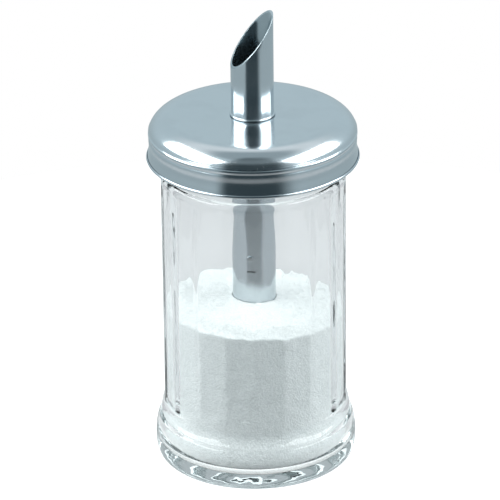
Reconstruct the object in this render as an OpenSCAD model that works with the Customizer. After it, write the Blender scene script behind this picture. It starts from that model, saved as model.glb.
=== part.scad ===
// Sugar dispenser: a faceted glass jar of sugar, a screwed steel lid, a slanted pour tube
// and a small flap that swings inside the tube. Millimetres, +Z up.
// The origin is the centre of the foot on the table. The mouth's low lip faces -X, turned a little to -Y.

/* [Jar] */
// Height of the glass jar, from the table to its rim
jar_h = 122; // [112:1:145]
// Distance from the axis to the flat of a facet
body_r = 32.4; // [31.6:0.1:33]
// How far the rounded ridges between the facets stand out past the flats
ridge_rise = 0.35; // [0.2:0.05:0.5]
// Number of flat facets round the jar
facets = 18; // [16:1:20]
// Glass thickness behind the middle of a facet
jar_wall = 3.3; // [2.5:0.1:4]
// Glass thickness under the sugar
floor_t = 4; // [3.5:0.5:8]
// Glass thickness in the side of the foot, which is hollow like the body
foot_wall = 3.6; // [3.2:0.1:5]
// How far the foot stands out past the flats of the facets
foot_out = 3.4; // [2.8:0.1:4]
// Height of the foot, up to the groove above it
foot_h = 14.8; // [12:0.2:18]
// Height of the plain collar over the groove, where the facets run out
collar_h = 9.6; // [7:0.2:12]
// Height of the neck, from the shoulder to the rim
neck_h = 13; // [12.5:0.1:15]
// How far the neck is set in from the flats of the facets
neck_in = 1.5; // [1.2:0.1:2]
// Glass thickness of the neck
neck_wall = 2.6; // [2.2:0.1:3.2]
// Depth of the hollow under the foot
punt_h = 1.5; // [0.8:0.1:2.5]

/* [Thread] */
// Rise of the lid in one full turn
thread_lead = 4; // [3.6:0.1:4.2]
// How far the glass thread stands out from the neck
thread_depth = 1.3; // [1:0.1:1.4]
// Free space between the two threads, measured along the radius
thread_play = 0.35; // [0.3:0.05:0.5]

/* [Lid] */
// Gap between the moulded ring inside the lid and the sheet at the bottom of the ring groove
lid_gap = 0.35; // [0.3:0.05:0.6]
// How far the rolled hem stands out past the bottom of the ring groove
hem_out = 1.25; // [1:0.05:1.6]
// How far the lid's shoulder stands out past the bottom of the ring groove
shoulder_out = 0.45; // [0.35:0.05:0.6]
// How far the swelling at the top of the skirt stands out past the bottom of the ring groove
bead_out = 0.35; // [0.3:0.05:0.45]
// How far the waist of the skirt stands out past the bottom of the ring groove
waist_out = 0.25; // [0.1:0.05:0.3]
// Sheet thickness of the lid
lid_wall = 0.6; // [0.5:0.05:0.7]
// Height of the lid's top above the jar's rim
head_h = 7.5; // [7.3:0.1:9]
// Distance from the jar's rim down to the lower edge of the hem
skirt_drop = 8.6; // [8.4:0.05:9]
// Width of the rounding between the flat top and the side
round_w = 8.6; // [7:0.2:12]
// Height of that rounding, with the ring groove in its lowest part
round_h = 6.8; // [6.4:0.1:7.2]
// Radius of the wire-like roll in the hem
roll_r = 0.65; // [0.6:0.05:0.75]

/* [Inside the lid] */
// Wall of the moulded ring that carries the lid's thread, behind the thread
ring_wall = 2.6; // [2:0.05:3]
// Thickness of the sealing ring on the jar's rim
seal_t = 1.2; // [0.8:0.1:1.4]
// Thickness of the thread ring's flange over the seal
flange_t = 1.2; // [1:0.1:1.4]
// Radius of the steel collar's flange under the lid
collar_r = 12.5; // [11:0.5:14]
// Sheet thickness of the steel collar
collar_t = 1; // [0.8:0.1:1.2]
// Length of the collar's sleeve on the tube
sleeve_h = 5; // [4:0.5:7]
// Thickness of the washer between the collar and the lid
washer_t = 0.9; // [0.6:0.1:1]

/* [Pour tube] */
// Outer radius of the tube
tube_r = 7.5; // [7.2:0.1:8]
// Wall thickness of the tube
tube_wall = 0.6; // [0.5:0.05:0.8]
// Height of the tube's tip above the lid
tip_h = 37.5; // [30:0.5:45]
// Slope of the mouth, from the level
mouth_angle = 52; // [40:0.5:58]
// Turn of the mouth about the tube's axis, away from the pin's square direction
mouth_turn = 17; // [0:1:30]
// Length of the tube below the lid's top
reach = 77.5; // [75:0.5:85]
// Size of the rolled beads that hold the tube in the lid
bead_w = 0.45; // [0.35:0.05:0.5]

/* [Flap] */
// Height of the flap's pin above the tube's lower end
pin_rise = 25.9; // [22:0.1:32]
// Sideways distance from the tube's axis to the pin, towards the mouth's low lip
pin_side = 1.5; // [1:0.1:2]
// Radius of the pin
pin_r = 0.6; // [0.5:0.05:0.7]
// Gap all round between the closed flap and the tube
flap_gap = 0.5; // [0.4:0.05:0.7]
// Thickness of the flap's plate
flap_t = 0.6; // [0.5:0.1:0.8]
// Distance from the pin down to the stop that the open flap leans on
stop_drop = 5.3; // [4.8:0.1:5.6]
// Width of the stop, pressed in from the tube's wall
stop_w = 3.1; // [2.6:0.1:3.4]
// Length of the stop inside the tube
stop_l = 2.5; // [2.3:0.1:2.8]

/* [Sugar] */
// Height of the top of the sugar heap above the table
sugar_h = 61; // [50:1:66]
// Radius of the rounding of the heap's top
heap_r = 150; // [120:5:250]

/* [Hidden] */

// Clearances
seat = 0.1;
running = 0.05;
loose = 0.3;

// Jar
ridge_r = body_r + ridge_rise;
foot_r = body_r + foot_out;
neck_r = body_r - neck_in;
rest_w = 9.5;
inner_r = body_r - jar_wall;
mouth_r = neck_r - neck_wall;
shoulder_z = jar_h - neck_h;
shoulder_h = 2.5;
floor_round = 5;
cave_r = foot_r - foot_wall;
cave_top_z = foot_h + 4.2;
lip_r = body_r + 1.3;
lip_z = foot_h + 1.3;
widest_z = 6.2;

// Thread
thread_steps = 36;
crest_r = neck_r + thread_depth;
bore_r = crest_r + thread_play;
lid_crest_r = neck_r + thread_play + 0.15;
root_w = 2.2;
crest_w = 1.2;
glass_thread_z = jar_h - 5.4;
lid_thread_z = glass_thread_z - thread_lead / 2;

// Lid
ring_r = bore_r + ring_wall;
groove_r = ring_r + lid_gap + lid_wall;
hem_r = groove_r + hem_out;
shoulder_r = groove_r + shoulder_out;
bead_r = groove_r + bead_out;
crease_r = bead_r - 0.15;
waist_r = groove_r + waist_out;
lid_z = jar_h + head_h;
ceiling_z = lid_z - lid_wall;
hem_z = jar_h - skirt_drop;
round_z = lid_z - round_h;
roll_z = hem_z + roll_r;
groove_z = round_z + 1.05;
groove_w = 0.9;
crease_z = round_z - 0.8;
bead_z = crease_z - 0.8;
waist_z = roll_z + 4.5;
flange_z = jar_h + seal_t + 2 * seat;
washer_z = ceiling_z - seat - washer_t;
collar_z = washer_z - seat - collar_t;

// Tube
tube_z = lid_z - reach;
tip_z = lid_z + tip_h;
bore_tube_r = tube_r - tube_wall;
bead_low_z = collar_z - sleeve_h - bead_w - running;

// Flap
pin_z = tube_z + pin_rise;
flap_r = bore_tube_r - flap_gap;
head_r = 1;
head_t = 0.35;
knuckle_r = pin_r + 0.5;
stop_x = pin_side + 0.75;
stop_reach = sqrt(stop_x * stop_x + stop_drop * stop_drop);
lean = atan(stop_x / stop_drop) + asin((flap_t / 2 + seat) / stop_reach);

// Sugar
heap_at = [-6, -4];
well_gap = 0.3;

// Points on a quarter-like stretch of an ellipse round c, from angle a0 to a1
function bow(c, rx, rz, a0, a1, n) =
    [for (i = [0 : n]) let (a = a0 + (a1 - a0) * i / n) [c[0] + rx * cos(a), c[1] + rz * sin(a)]];

// Points on a soft S from p0 to p1, level with the axis at both ends
function ess(p0, p1, n) =
    [for (i = [0 : n]) let (t = i / n, s = (1 - cos(180 * t)) / 2)
        [p0[0] + (p1[0] - p0[0]) * s, p0[1] + (p1[1] - p0[1]) * t]];

// One helical ridge. It fades out at both ends, where it sinks into the wall behind it
module thread_ridge(wall_r, top_r, z) {
    side = top_r > wall_r ? 1 : -1;
    back_r = wall_r - side * 0.35;
    fade = 4;
    rings = [for (i = [0 : thread_steps])
        let (f = min(1, min(i, thread_steps - i) / fade),
             a = 360 * i / thread_steps,
             r = back_r + side * 0.1 + (top_r - back_r - side * 0.1) * f,
             m = z + thread_lead * i / thread_steps)
        [for (p = [[back_r, -root_w], [r, -crest_w], [r, crest_w], [back_r, root_w]])
            [p[0] * cos(a), p[0] * sin(a), m + p[1] / 2]]];
    points = [for (ring = rings) each ring];
    skin = [for (i = [0 : thread_steps - 1], j = [0 : 3])
        let (a = 4 * i + j, b = 4 * i + (j + 1) % 4)
        each [[a, a + 4, b], [b, a + 4, b + 4]]];
    last = 4 * thread_steps;
    faces = concat(skin, [[0, 1, 2], [0, 2, 3]], [[last, last + 2, last + 1], [last, last + 3, last + 2]]);
    polyhedron(points, side < 0 ? faces : [for (f = faces) [f[2], f[1], f[0]]]);
}

// A disc or ring with square edges
module washer(r_out, r_in, h) {
    difference() {
        cylinder(r = r_out, h = h, $fn = 96);
        translate([0, 0, -1]) cylinder(r = r_in, h = h + 2, $fn = 96);
    }
}

// The facets, with a ridge facing -Y, closed in by the shoulder above
module faceted_body() {
    corner = body_r / cos(180 / facets);
    intersection() {
        translate([0, 0, foot_h + 1])
            linear_extrude(shoulder_z - foot_h - 1)
                polygon([for (i = [0 : facets - 1]) let (a = 360 * i / facets - 90)
                    corner * [cos(a), sin(a)]]);
        rotate_extrude($fn = 120)
            polygon(concat([[0, 0], [ridge_r, 0]],
                bow([neck_r, shoulder_z - shoulder_h], ridge_r - neck_r, shoulder_h, 0, 90, 6),
                [[0, shoulder_z]]));
    }
}

// The foot, the groove over it and the collar that the facets run out into
module foot() {
    rotate_extrude($fn = 120)
        polygon(concat([[0, 0]],
            bow([foot_r - 1.9, widest_z], 1.9, widest_z, -90, 0, 8),
            bow([foot_r - 2, widest_z], 2, foot_h - widest_z, 8, 78, 8),
            [[lip_r - 0.7, foot_h + 0.1], [lip_r - 0.15, foot_h + 0.5]],
            ess([lip_r, lip_z], [body_r - 0.1, foot_h + collar_h], 8),
            [[0, foot_h + collar_h]]));
}

// The jar's inside from the middle of its floor up to its wall, drawn in by a gap
function hollow(gap) = concat([[0, floor_t + gap]],
    bow([cave_r - floor_round, floor_t + floor_round], floor_round - gap, floor_round - gap, -90, 0, 8),
    ess([cave_r - gap, floor_t + floor_round + 0.2], [inner_r - gap, cave_top_z], 8));

module jar() {
    color([0.82, 0.9, 0.88, 0.35]) difference() {
        union() {
            foot();
            faceted_body();
            rotate_extrude($fn = 120)
                polygon(concat([[0, shoulder_z - 1], [neck_r, shoulder_z - 1]],
                    bow([neck_r - 0.7, jar_h - 0.7], 0.7, 0.7, 0, 90, 3), [[0, jar_h]]));
            thread_ridge(neck_r, crest_r, glass_thread_z);
        }
        rotate_extrude($fn = 120)
            polygon(concat(hollow(0),
                ess([inner_r, shoulder_z - shoulder_h - 1.5], [mouth_r, shoulder_z + 1], 5),
                bow([mouth_r + 0.6, jar_h - 0.6], -0.6, 0.6, 0, 90, 3),
                [[mouth_r + 0.6, jar_h + 1], [0, jar_h + 1]]));
        punt_r = foot_r - rest_w;
        ball = (punt_r * punt_r + punt_h * punt_h) / (2 * punt_h);
        translate([0, 0, punt_h - ball]) sphere(r = ball, $fn = 120);
    }
}

// Sugar up to a rounded heap, with a narrow well where the tube stands in it
module sugar_fill() {
    fill_r = inner_r - seat;
    color([0.97, 0.97, 0.97]) difference() {
        intersection() {
            rotate_extrude($fn = 120)
                polygon(concat(hollow(seat), [[fill_r, sugar_h + 5], [0, sugar_h + 5]]));
            translate([heap_at[0], heap_at[1], sugar_h - heap_r]) sphere(r = heap_r, $fn = 180);
        }
        translate([0, 0, tube_z - loose])
            washer(tube_r + well_gap, bore_tube_r - well_gap, sugar_h);
    }
}

// The spun steel lid: flat top, rounded shoulder, ring groove, crease, flared skirt and rolled hem
module lid_shell() {
    color([0.72, 0.75, 0.78]) union() {
        difference() {
            rotate_extrude($fn = 120) lid_outline(0);
            rotate_extrude($fn = 120) lid_outline(lid_wall);
            translate([0, 0, ceiling_z - 1]) cylinder(r = tube_r + 0.15, h = 4, $fn = 72);
        }
        rotate_extrude($fn = 120) translate([hem_r - roll_r, roll_z]) circle(r = roll_r, $fn = 32);
    }
}

// Half of the lid's section as a filled outline, drawn in by the sheet's thickness
module lid_outline(inset) {
    low_z = inset > 0 ? hem_z - 1 : roll_z;
    flat_r = shoulder_r - round_w;
    flare_r = hem_r - roll_r + 0.15;
    low_a = asin((groove_z - groove_w / 2 - round_z) / round_h);
    high_a = asin((groove_z + groove_w / 2 - round_z) / round_h);
    polygon(concat([[0, low_z], [flare_r - inset, low_z]],
        ess([flare_r - inset, roll_z + 0.1], [waist_r - inset, waist_z], 6),
        ess([waist_r - inset, waist_z], [bead_r - inset, bead_z], 4),
        ess([bead_r - inset, bead_z], [crease_r - inset, crease_z], 3),
        ess([crease_r - inset, crease_z], [shoulder_r - inset, round_z], 3),
        bow([flat_r, round_z], round_w - inset, round_h - inset, 0, low_a, 1),
        [[groove_r - inset, groove_z]],
        bow([flat_r, round_z], round_w - inset, round_h - inset, high_a, 90, 14),
        [[0, lid_z - inset]]));
}

// Moulded ring that stands inside the skirt. Its thread takes the neck, its flange the seal
module thread_ring() {
    low_z = hem_z + 0.05;
    color([0.92, 0.92, 0.9]) union() {
        difference() {
            intersection() {
                translate([0, 0, low_z]) cylinder(r = ring_r, h = flange_z + flange_t - low_z, $fn = 120);
                rotate_extrude($fn = 120) lid_outline(lid_wall + seat);
            }
            translate([0, 0, low_z - 1]) cylinder(r = bore_r, h = flange_z - low_z + 1, $fn = 120);
            cylinder(r = mouth_r + loose, h = lid_z, $fn = 120);
        }
        thread_ridge(bore_r, lid_crest_r, lid_thread_z);
    }
}

module sealing_ring() {
    color([0.85, 0.85, 0.83]) translate([0, 0, jar_h + seat]) washer(lid_crest_r - loose, mouth_r + loose, seal_t);
}

module tube_washer() {
    color([0.85, 0.85, 0.83]) translate([0, 0, washer_z]) washer(collar_r, tube_r + seat, washer_t);
}

// Steel collar: a flange under the lid and a sleeve that grips the tube
module tube_collar() {
    color([0.72, 0.75, 0.78]) difference() {
        union() {
            translate([0, 0, collar_z]) cylinder(r = collar_r, h = collar_t, $fn = 96);
            translate([0, 0, collar_z - sleeve_h]) cylinder(r = tube_r + collar_t, h = sleeve_h + 0.1, $fn = 72);
        }
        translate([0, 0, collar_z - sleeve_h - 1])
            cylinder(r = tube_r + running, h = sleeve_h + collar_t + 2, $fn = 72);
    }
}

// The tube: slanted mouth, a bead above and below the lid, the pin's holes and the pressed-in stop
module pour_tube() {
    color([0.75, 0.78, 0.8]) union() {
        difference() {
            union() {
                translate([0, 0, tube_z]) cylinder(r = tube_r, h = tip_z - tube_z, $fn = 72);
                for (z = [lid_z + bead_w + running, bead_low_z])
                    translate([0, 0, z]) rotate_extrude($fn = 72)
                        translate([tube_r, 0]) circle(r = bead_w, $fn = 24);
            }
            translate([0, 0, tube_z - 1]) cylinder(r = bore_tube_r, h = tip_z - tube_z + 2, $fn = 72);
            rotate([0, 0, mouth_turn]) translate([tube_r, 0, tip_z]) rotate([0, -mouth_angle, 0])
                translate([-8 * tube_r, -2 * tube_r, 0]) cube([12 * tube_r, 4 * tube_r, 8 * tube_r]);
            translate([-pin_side, 0, pin_z]) rotate([90, 0, 0])
                cylinder(r = pin_r + running, h = 4 * tube_r, center = true, $fn = 32);
            translate([stop_x - pin_side - stop_w, -tube_r - 1, pin_z - stop_drop])
                cube([stop_w, 3, 0.5]);
        }
        translate([stop_x - pin_side - stop_w, -bore_tube_r - tube_wall / 2, pin_z - stop_drop - 0.5])
            cube([stop_w, stop_l + tube_wall / 2, 0.5]);
    }
}

// The pin goes through both walls of the tube and is headed over outside them
module flap_pin() {
    color([0.66, 0.68, 0.7]) translate([-pin_side, 0, pin_z]) rotate([90, 0, 0]) {
        cylinder(r = pin_r, h = 2 * tube_r + 0.1, center = true, $fn = 32);
        for (s = [0, 1]) mirror([0, 0, s])
            translate([0, 0, tube_r + 0.02]) cylinder(r = head_r, h = head_t, $fn = 32);
    }
}

// The flap: a round plate hung off its middle on a knuckle, leaning on the stop
module flap() {
    knuckle_l = 2 * (sqrt(pow(bore_tube_r, 2) - pow(pin_side + knuckle_r, 2)) - 0.35);
    color([0.7, 0.72, 0.75]) translate([-pin_side, 0, pin_z]) rotate([0, -lean, 0]) difference() {
        union() {
            translate([0, 0, -pin_side]) rotate([0, 90, 0])
                cylinder(r = flap_r, h = flap_t, center = true, $fn = 72);
            rotate([90, 0, 0]) cylinder(r = knuckle_r, h = knuckle_l, center = true, $fn = 32);
        }
        rotate([90, 0, 0]) cylinder(r = pin_r + running, h = 3 * tube_r, center = true, $fn = 32);
    }
}

jar();
sugar_fill();
lid_shell();
thread_ring();
sealing_ring();
tube_washer();
tube_collar();
pour_tube();
flap_pin();
flap();
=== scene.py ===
"""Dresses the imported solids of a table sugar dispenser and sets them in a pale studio.

The dispenser is a faceted glass jar of sugar with a screwed steel lid, a slanted pour tube through
the lid and a small flap inside the tube. Outlines are written in millimetres from the foot's centre,
+Z up, and the turned pieces come out in metres. The mouth's low lip faces -X, the camera stands at -Y.
"""

import logging
import math
from dataclasses import dataclass, field
from enum import Enum
from typing import Iterable, Sequence

import bmesh
import bpy
from mathutils import Matrix, Vector, noise

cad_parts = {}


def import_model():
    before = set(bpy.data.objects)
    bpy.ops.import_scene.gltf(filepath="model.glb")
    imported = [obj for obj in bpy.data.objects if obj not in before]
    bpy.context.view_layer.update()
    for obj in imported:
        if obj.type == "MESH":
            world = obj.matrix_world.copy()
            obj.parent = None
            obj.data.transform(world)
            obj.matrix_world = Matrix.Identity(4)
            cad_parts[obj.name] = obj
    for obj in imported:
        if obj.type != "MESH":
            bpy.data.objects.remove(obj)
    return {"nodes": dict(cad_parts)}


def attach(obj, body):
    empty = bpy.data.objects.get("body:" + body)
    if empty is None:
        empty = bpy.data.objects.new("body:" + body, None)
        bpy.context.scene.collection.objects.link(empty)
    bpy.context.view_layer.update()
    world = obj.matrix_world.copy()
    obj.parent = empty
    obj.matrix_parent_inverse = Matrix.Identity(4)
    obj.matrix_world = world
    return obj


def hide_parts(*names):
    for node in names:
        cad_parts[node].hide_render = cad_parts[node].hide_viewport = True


LOG = logging.getLogger("dispenser")
MM = 0.001
AXIS = (0.0, 0.0, 1.0)
Outline = list[tuple[float, float]]
Colour = tuple[float, float, float, float]


class Body(Enum):
    """The moving groups of the dispenser that a piece can ride on."""

    JAR = "base"
    SEAL = "seal"
    WASHER = "washer"
    LID = "lid"
    FLAP = "flap"


# ---------------------------------------------------------------- outlines


def bow(c: tuple[float, float], rx: float, rz: float, a0: float, a1: float, n: int) -> Outline:
    """Points on a stretch of an ellipse.

    Args:
        c: Centre, as radius and height.
        rx: Half width of the ellipse.
        rz: Half height of the ellipse.
        a0: First angle in degrees, 0 pointing outwards.
        a1: Last angle in degrees.
        n: Number of steps.

    Returns:
        The points in order.
    """
    turn = [math.radians(a0 + (a1 - a0) * i / n) for i in range(n + 1)]
    return [(c[0] + rx * math.cos(a), c[1] + rz * math.sin(a)) for a in turn]


def ess(p0: tuple[float, float], p1: tuple[float, float], n: int) -> Outline:
    """Points on a soft S between two heights, upright at both ends.

    Args:
        p0: First point, as radius and height.
        p1: Last point.
        n: Number of steps.

    Returns:
        The points in order.
    """
    out = []
    for i in range(n + 1):
        t = i / n
        s = (1 - math.cos(math.pi * t)) / 2
        out.append((p0[0] + (p1[0] - p0[0]) * s, p0[1] + (p1[1] - p0[1]) * t))
    return out


def rise(r0: float, z0: float, r1: float, z1: float, n: int) -> Outline:
    """Evenly spaced points on the straight line between two points of an outline."""
    return [(r0 + (r1 - r0) * i / n, z0 + (z1 - z0) * i / n) for i in range(n + 1)]


def smooth(x: float, lo: float, hi: float) -> float:
    """A soft step from 0 at lo to 1 at hi."""
    t = min(1.0, max(0.0, (x - lo) / (hi - lo)))
    return t * t * (3 - 2 * t)


def soft_min(a: float, b: float, k: float) -> float:
    """The lesser of two values, rounded over where they are within k of each other."""
    h = max(0.0, k - abs(a - b)) / k
    return min(a, b) - h * h * k / 4


@dataclass(frozen=True)
class Hollow:
    """The lower end of the jar's inside, which is hollow into the foot."""

    inner_r: float = 29.1
    cave_r: float = 32.2
    floor_z: float = 4.0
    round_r: float = 5.0
    top_z: float = 19.0

    def line(self, gap: float) -> Outline:
        """The outline from the wall down to the middle of the floor, drawn in by a gap."""
        corner = (self.cave_r - self.round_r, self.floor_z + self.round_r)
        waist = ess((self.inner_r - gap, self.top_z), (self.cave_r - gap, corner[1] + 0.2), 16)
        turn = bow(corner, self.round_r - gap, self.round_r - gap, -3, -90, 14)
        return waist + turn + [(10, self.floor_z + gap), (0, self.floor_z + gap)]


HOLLOW = Hollow()


def fluted(degrees: float, z: float, ridge: float, depth: float) -> float:
    """Radius of the jar's lining at an angle from the middle of a facet.

    Args:
        degrees: Angle from the middle of the facet.
        z: Height in millimetres; the flutes fade out towards the floor and the shoulder.
        ridge: Radius at the ridges between the flutes.
        depth: How far the middle of a flute lies inside the ridges.

    Returns:
        The radius in millimetres.
    """
    flat = soft_min((ridge - depth) / math.cos(math.radians(degrees)), ridge, 0.16)
    fade = smooth(z, HOLLOW.top_z + 1, HOLLOW.top_z + 9) * (1 - smooth(z, 98, 105))
    return ridge + (flat - ridge) * fade


def soft_max(a: float, b: float, k: float) -> float:
    """The greater of two values, rounded over where they are within k of each other."""
    return -soft_min(-a, -b, k)


# ---------------------------------------------------------------- mesh work


@dataclass
class Bench:
    """The modelling bench: each method is one hand operation on one piece."""

    name: str
    piece: bpy.types.Object | None = None

    def _clear(self) -> None:
        """Leaves object mode with nothing selected."""
        if bpy.context.object and bpy.context.object.mode != "OBJECT":
            bpy.ops.object.mode_set(mode="OBJECT")
        bpy.ops.object.select_all(action="DESELECT")

    def _own(self) -> "Bench":
        """Takes the object that an operator has just made and names it."""
        self.piece = bpy.context.object
        self.piece.name = self.piece.data.name = self.name
        return self

    def edit(self) -> bmesh.types.BMesh:
        """Opens the piece for editing with nothing selected, and returns its live mesh."""
        self._clear()
        bpy.context.view_layer.objects.active = self.piece
        self.piece.select_set(True)
        bpy.ops.object.mode_set(mode="EDIT")
        bpy.ops.mesh.select_mode(type="VERT")
        bpy.ops.mesh.select_all(action="DESELECT")
        return bmesh.from_edit_mesh(self.piece.data)

    def done(self) -> "Bench":
        """Closes the edit."""
        bpy.ops.object.mode_set(mode="OBJECT")
        return self

    def turn(self, outline: Outline, steps: int, closed: bool = False) -> "Bench":
        """Draws an outline point by point and spins it about the vertical axis.

        Args:
            outline: Radius and height of each point, in millimetres.
            steps: Number of steps in the full turn.
            closed: Whether the outline runs back to its first point.

        Returns:
            The bench, with the turned piece on it.
        """
        self._clear()
        path = list(outline) + ([outline[0]] if closed else [])
        bpy.ops.mesh.primitive_circle_add(vertices=3, radius=MM)
        self._own()
        bm = self.edit()
        bm.verts.ensure_lookup_table()
        for v in bm.verts[1:]:
            v.select = True
        bmesh.update_edit_mesh(self.piece.data)
        bpy.ops.mesh.delete(type="VERT")
        bm = bmesh.from_edit_mesh(self.piece.data)
        bm.verts.ensure_lookup_table()
        bm.verts[0].select = True
        at = Vector((path[0][0] * MM, 0, path[0][1] * MM))
        bpy.ops.transform.translate(value=at - bm.verts[0].co)
        for r, z in path[1:]:
            to = Vector((r * MM, 0, z * MM))
            bpy.ops.mesh.extrude_region_move(TRANSFORM_OT_translate={"value": to - at})
            at = to
        bpy.ops.mesh.select_all(action="SELECT")
        bpy.ops.mesh.spin(steps=steps, angle=math.tau, center=(0, 0, 0), axis=AXIS)
        bpy.ops.mesh.select_all(action="SELECT")
        bpy.ops.mesh.remove_doubles(threshold=1e-6)
        bpy.ops.mesh.normals_make_consistent(inside=False)
        return self.done()

    def rod(self, radius: float, length: float, at: Vector, along: Vector, sides: int = 48) -> "Bench":
        """Starts a piece from a round bar.

        Args:
            radius: Radius in millimetres.
            length: Length in millimetres.
            at: Centre in metres.
            along: Direction of the bar's axis.
            sides: Number of sides.

        Returns:
            The bench, with the bar on it.
        """
        self._clear()
        bpy.ops.mesh.primitive_cylinder_add(vertices=sides, radius=radius * MM, depth=length * MM)
        self._own()
        self.piece.rotation_euler = along.to_track_quat("Z", "Y").to_euler()
        self.piece.location = at
        return self.settle()

    def block(self, low: Sequence[float], high: Sequence[float]) -> "Bench":
        """Starts a piece from a block between two corners given in millimetres."""
        self._clear()
        mid = [(a + b) / 2 * MM for a, b in zip(low, high)]
        size = [(b - a) * MM for a, b in zip(low, high)]
        bpy.ops.mesh.primitive_cube_add(size=1, location=mid, scale=size)
        return self._own().settle()

    def settle(self) -> "Bench":
        """Puts the object's place, turn and scale into its mesh."""
        self._clear()
        self.piece.select_set(True)
        bpy.context.view_layer.objects.active = self.piece
        bpy.ops.object.transform_apply(location=True, rotation=True, scale=True)
        return self

    def rescale(self, verts: Iterable[bmesh.types.BMVert], factor: float) -> None:
        """Widens or narrows the given points about the vertical axis, while the piece is open."""
        bpy.ops.mesh.select_all(action="DESELECT")
        for v in verts:
            v.select = True
        bpy.ops.transform.resize(value=(factor, factor, 1), center_override=(0, 0, 0))

    def soften(self, width: float, segments: int = 3, degrees: float = 35) -> "Bench":
        """Rounds the edges that are sharper than an angle.

        Args:
            width: Width of the rounding in millimetres.
            segments: Number of segments across it.
            degrees: Least angle of an edge that is rounded.

        Returns:
            The bench.
        """
        return self.finish("BEVEL", width=width * MM, segments=segments, limit_method="ANGLE",
                           angle_limit=math.radians(degrees), use_clamp_overlap=True, harden_normals=False)

    def finish(self, kind: str, **values: object) -> "Bench":
        """Adds a modifier with the given values and applies it."""
        self._clear()
        self.piece.select_set(True)
        bpy.context.view_layer.objects.active = self.piece
        mod = self.piece.modifiers.new(kind.title(), kind)
        for key, value in values.items():
            setattr(mod, key, value)
        bpy.ops.object.modifier_apply(modifier=mod.name)
        return self

    def cut(self, tool: "Bench", operation: str = "DIFFERENCE") -> "Bench":
        """Cuts, joins or trims the piece with another one, which is used up."""
        self.finish("BOOLEAN", object=tool.piece, operation=operation, solver="EXACT")
        bpy.data.objects.remove(tool.piece)
        return self

    def join(self, others: Sequence["Bench"]) -> "Bench":
        """Takes other pieces into this one as separate closed shells."""
        self._clear()
        for o in others:
            o.piece.select_set(True)
        self.piece.select_set(True)
        bpy.context.view_layer.objects.active = self.piece
        bpy.ops.object.join()
        return self

    def polish(self, degrees: float = 30) -> "Bench":
        """Shades the piece smooth, apart from edges sharper than an angle."""
        self._clear()
        self.piece.select_set(True)
        bpy.context.view_layer.objects.active = self.piece
        bpy.ops.object.shade_smooth_by_angle(angle=math.radians(degrees))
        return self


def helix(name: str, wall_r: float, top_r: float, z: float, lead: float, root: float,
          crest: float) -> Bench:
    """One turn of a screw ridge that fades into the wall behind it at both ends.

    Args:
        name: Name of the ridge.
        wall_r: Radius of the wall it stands on, in millimetres.
        top_r: Radius of its crest.
        z: Height of the middle of its first section.
        lead: Rise in the full turn.
        root: Width at the wall.
        crest: Width at the crest.

    Returns:
        The bench with the ridge, a closed shell.
    """
    back = wall_r - math.copysign(0.35, top_r - wall_r)
    b = Bench(name)
    b._clear()
    bpy.ops.mesh.primitive_plane_add(size=2)
    b._own()
    bm = b.edit()
    section = [(back, -root / 2), (top_r, -crest / 2), (top_r, crest / 2), (back, root / 2)]
    bm.faces.ensure_lookup_table()
    for v, (r, h) in zip(bm.faces[0].verts, section):
        bpy.ops.mesh.select_all(action="DESELECT")
        v.select = True
        bpy.ops.transform.translate(value=Vector((r * MM, 0, (z + h) * MM)) - v.co)
    b.done()
    b.finish("BEVEL", affect="VERTICES", width=0.25 * MM, segments=3)
    steps = 120
    b.finish("SCREW", angle=math.tau, screw_offset=lead * MM, steps=steps, render_steps=steps,
             use_normal_calculate=True, use_merge_vertices=False)
    bm = b.edit()
    fade = 0.11
    ends: dict[int, list] = {}
    for v in bm.verts:
        a = math.atan2(v.co.y, v.co.x) % math.tau
        t = a / math.tau
        if t < 1e-6 or t > 1 - 1e-6:
            t = 0.0 if v.co.z < (z + lead / 2) * MM else 1.0
        e = min(t, 1 - t)
        if e < fade:
            ends.setdefault(round(e * steps), []).append(v)
    for step, verts in ends.items():
        f = smooth(step / steps, 0, fade)
        for v in verts:
            r = math.hypot(v.co.x, v.co.y)
            k = (back * MM + (r - back * MM) * (0.03 + 0.97 * f)) / r
            v.co.x *= k
            v.co.y *= k
    bpy.ops.mesh.select_all(action="DESELECT")
    for e in bm.edges:
        e.select = e.is_boundary
    bmesh.update_edit_mesh(b.piece.data)
    bpy.ops.mesh.edge_face_add()
    bpy.ops.mesh.select_all(action="SELECT")
    bpy.ops.mesh.normals_make_consistent(inside=False)
    return b.done()


# ---------------------------------------------------------------- finishes


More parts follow.
